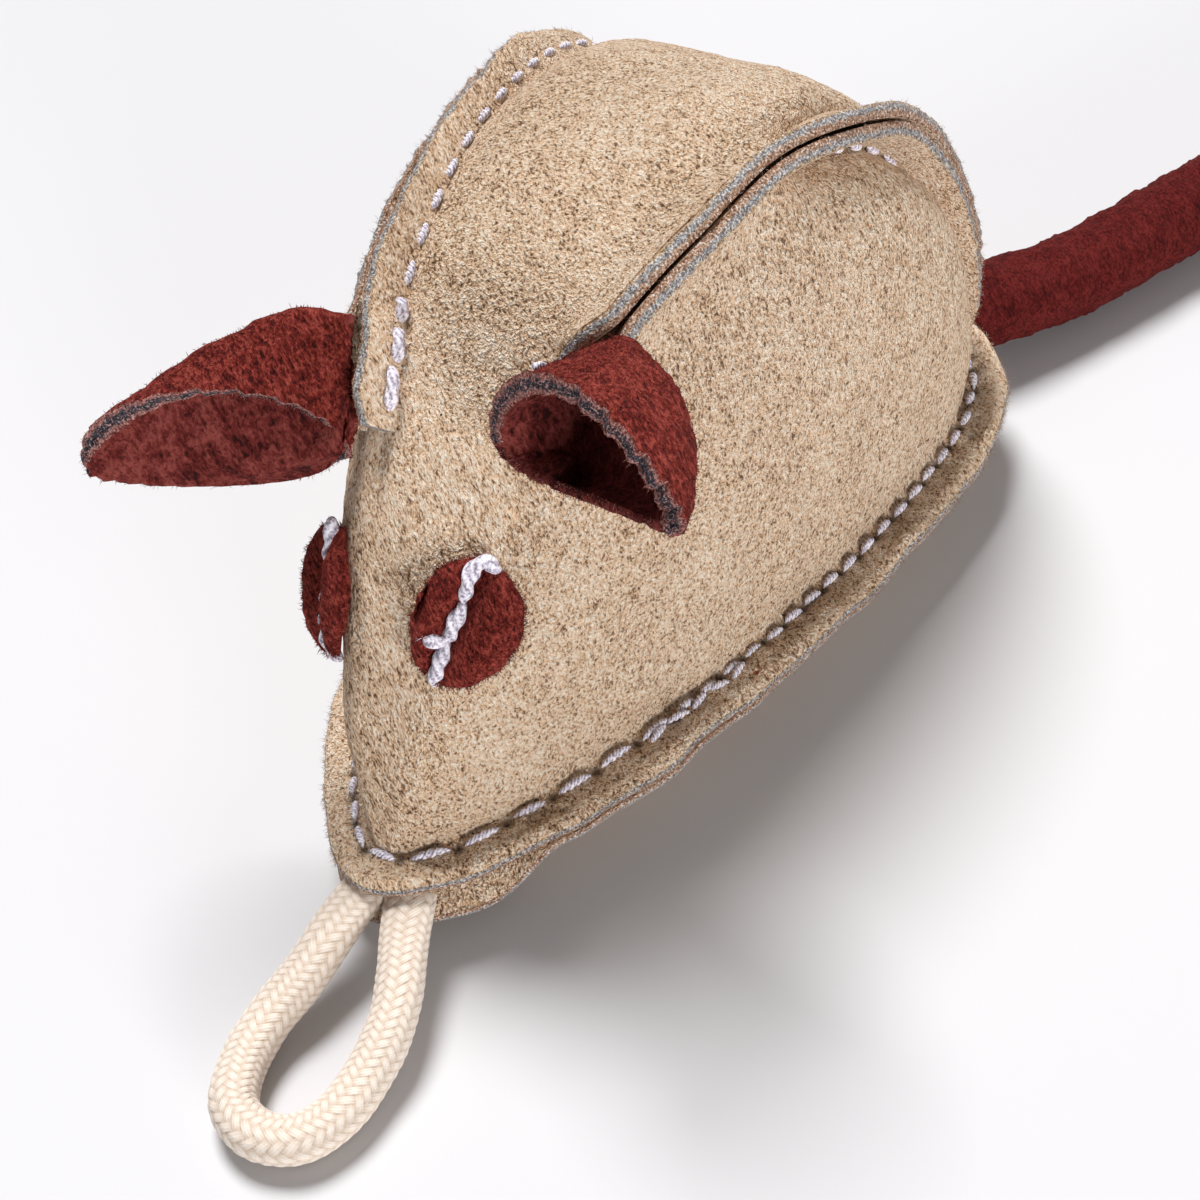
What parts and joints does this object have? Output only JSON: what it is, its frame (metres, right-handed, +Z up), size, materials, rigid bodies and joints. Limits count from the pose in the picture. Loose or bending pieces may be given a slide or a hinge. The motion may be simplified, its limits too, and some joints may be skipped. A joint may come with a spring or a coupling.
{
  "type": "stuffed mouse dog toy",
  "caption": "Stuffed suede mouse toy with raw-edged seams, folded suede ears, stitched disc eyes, a rolled suede tail and a braided cord loop at the nose.",
  "frame": {"origin": "middle of the flat resting patch under the belly, on the floor", "axes": "+X to the nose, +Y to the mouse's left side, +Z up"},
  "size_m": [0.2366, 0.1007, 0.0708],
  "materials": {
    "tan_suede": "napped, matt",
    "burgundy_suede": "napped, matt",
    "thread": "twisted, matt",
    "braided_cord": "braided, matt",
    "filling": "loose fibre"
  },
  "bodies": {
    "body": {"upper_panel": "tan_suede", "base_panel": "tan_suede", "stuffing": "filling", "ear_root_left": "burgundy_suede", "ear_root_right": "burgundy_suede", "ear_tack_left": "thread", "ear_tack_right": "thread", "eye_left": "burgundy_suede", "eye_right": "burgundy_suede", "eye_stitch_left": "thread", "eye_stitch_right": "thread", "ridge_thread_left_inner": "thread", "ridge_thread_left_outer": "thread", "ridge_thread_right_inner": "thread", "ridge_thread_right_outer": "thread", "seam_thread_top": "thread", "seam_thread_under": "thread", "seam_backtack": "thread", "tail_root": "burgundy_suede", "loop_end_right": "braided_cord", "loop_end_left": "braided_cord"},
    "ear_left": {"ear_left": "burgundy_suede"},
    "ear_right": {"ear_right": "burgundy_suede"},
    "tail": {"tail": "burgundy_suede"},
    "hanging_loop": {"hanging_loop": "braided_cord"}
  },
  "joints": [
    {"name": "ear_fold_left", "type": "hinge", "parent": "body", "child": "ear_left", "pos_m": [0.0214, 0.01423, 0.05903], "axis": [0.8524, -0.2021, -0.4822], "range_deg": [-50, 50], "stiffness_Nm_per_rad": 0.004},
    {"name": "ear_fold_right", "type": "hinge", "parent": "body", "child": "ear_right", "pos_m": [0.02615, -0.01287, 0.05625], "axis": [-0.8044, -0.2061, 0.5573], "range_deg": [-50, 50], "stiffness_Nm_per_rad": 0.004},
    {"name": "tail_wag", "type": "hinge", "parent": "body", "child": "tail", "pos_m": [-0.0617, 0.018, 0.008], "axis": [0, 0, 1], "range_deg": [-25, 80]},
    {"name": "loop_flip", "type": "hinge", "parent": "body", "child": "hanging_loop", "pos_m": [0.05544, 0.00571, 0.00698], "axis": [0.2319, -0.9727, 0], "range_deg": [0, 100]}
  ]
}
